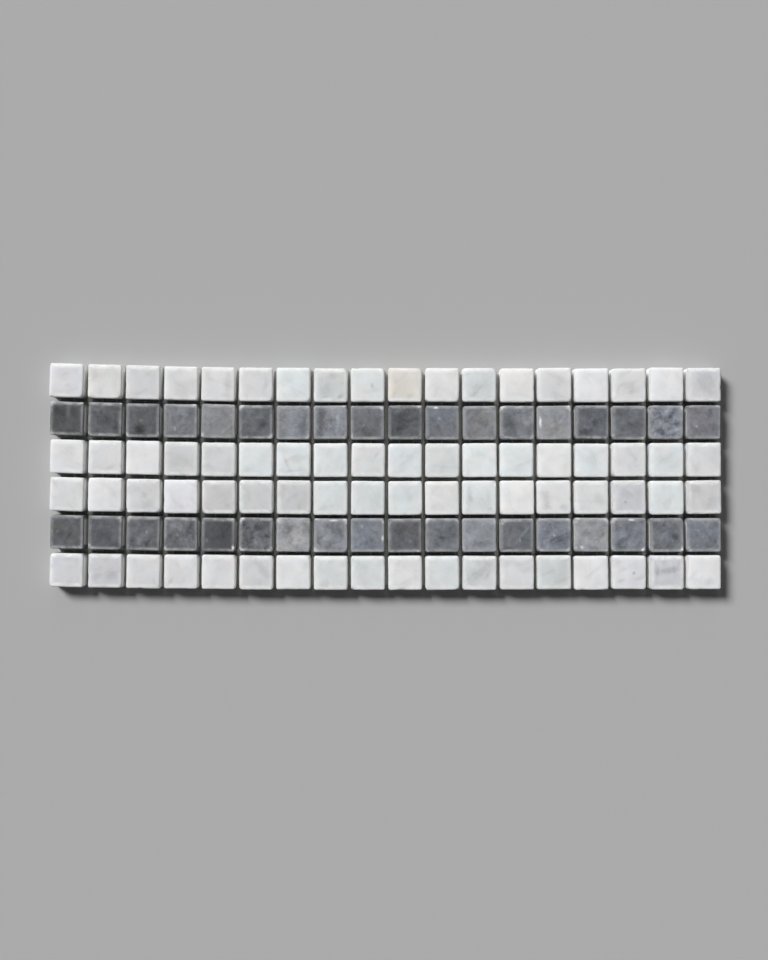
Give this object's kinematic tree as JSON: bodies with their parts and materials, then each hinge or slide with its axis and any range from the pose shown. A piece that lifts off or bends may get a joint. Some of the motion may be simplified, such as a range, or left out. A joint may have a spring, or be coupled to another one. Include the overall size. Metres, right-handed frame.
{
  "type": "mosaic tile sheet",
  "caption": "Flat strip of small square tumbled marble tiles in white and grey rows, open joints between them, held together by a glass-fibre net glued to their backs.",
  "frame": {"origin": "under the middle of the outline that the tiles make, on the underside of the net", "axes": "+X along the rows of tiles, to the right in the picture; +Y across the rows, up in the picture; +Z out of the polished face, away from the net"},
  "size_m": [0.3046, 0.103, 0.0085],
  "materials": {
    "white_marble": "satin",
    "grey_marble": "satin",
    "net": "matte"
  },
  "bodies": {
    "root": {"white_tiles_row_1": "white_marble", "grey_tiles_row_2": "grey_marble", "white_tiles_row_3": "white_marble", "white_tiles_row_4": "white_marble", "grey_tiles_row_5": "grey_marble", "white_tiles_row_6": "white_marble", "net_section_1": "net", "net_section_2": "net", "net_section_3": "net"}
  },
  "joints": []
}
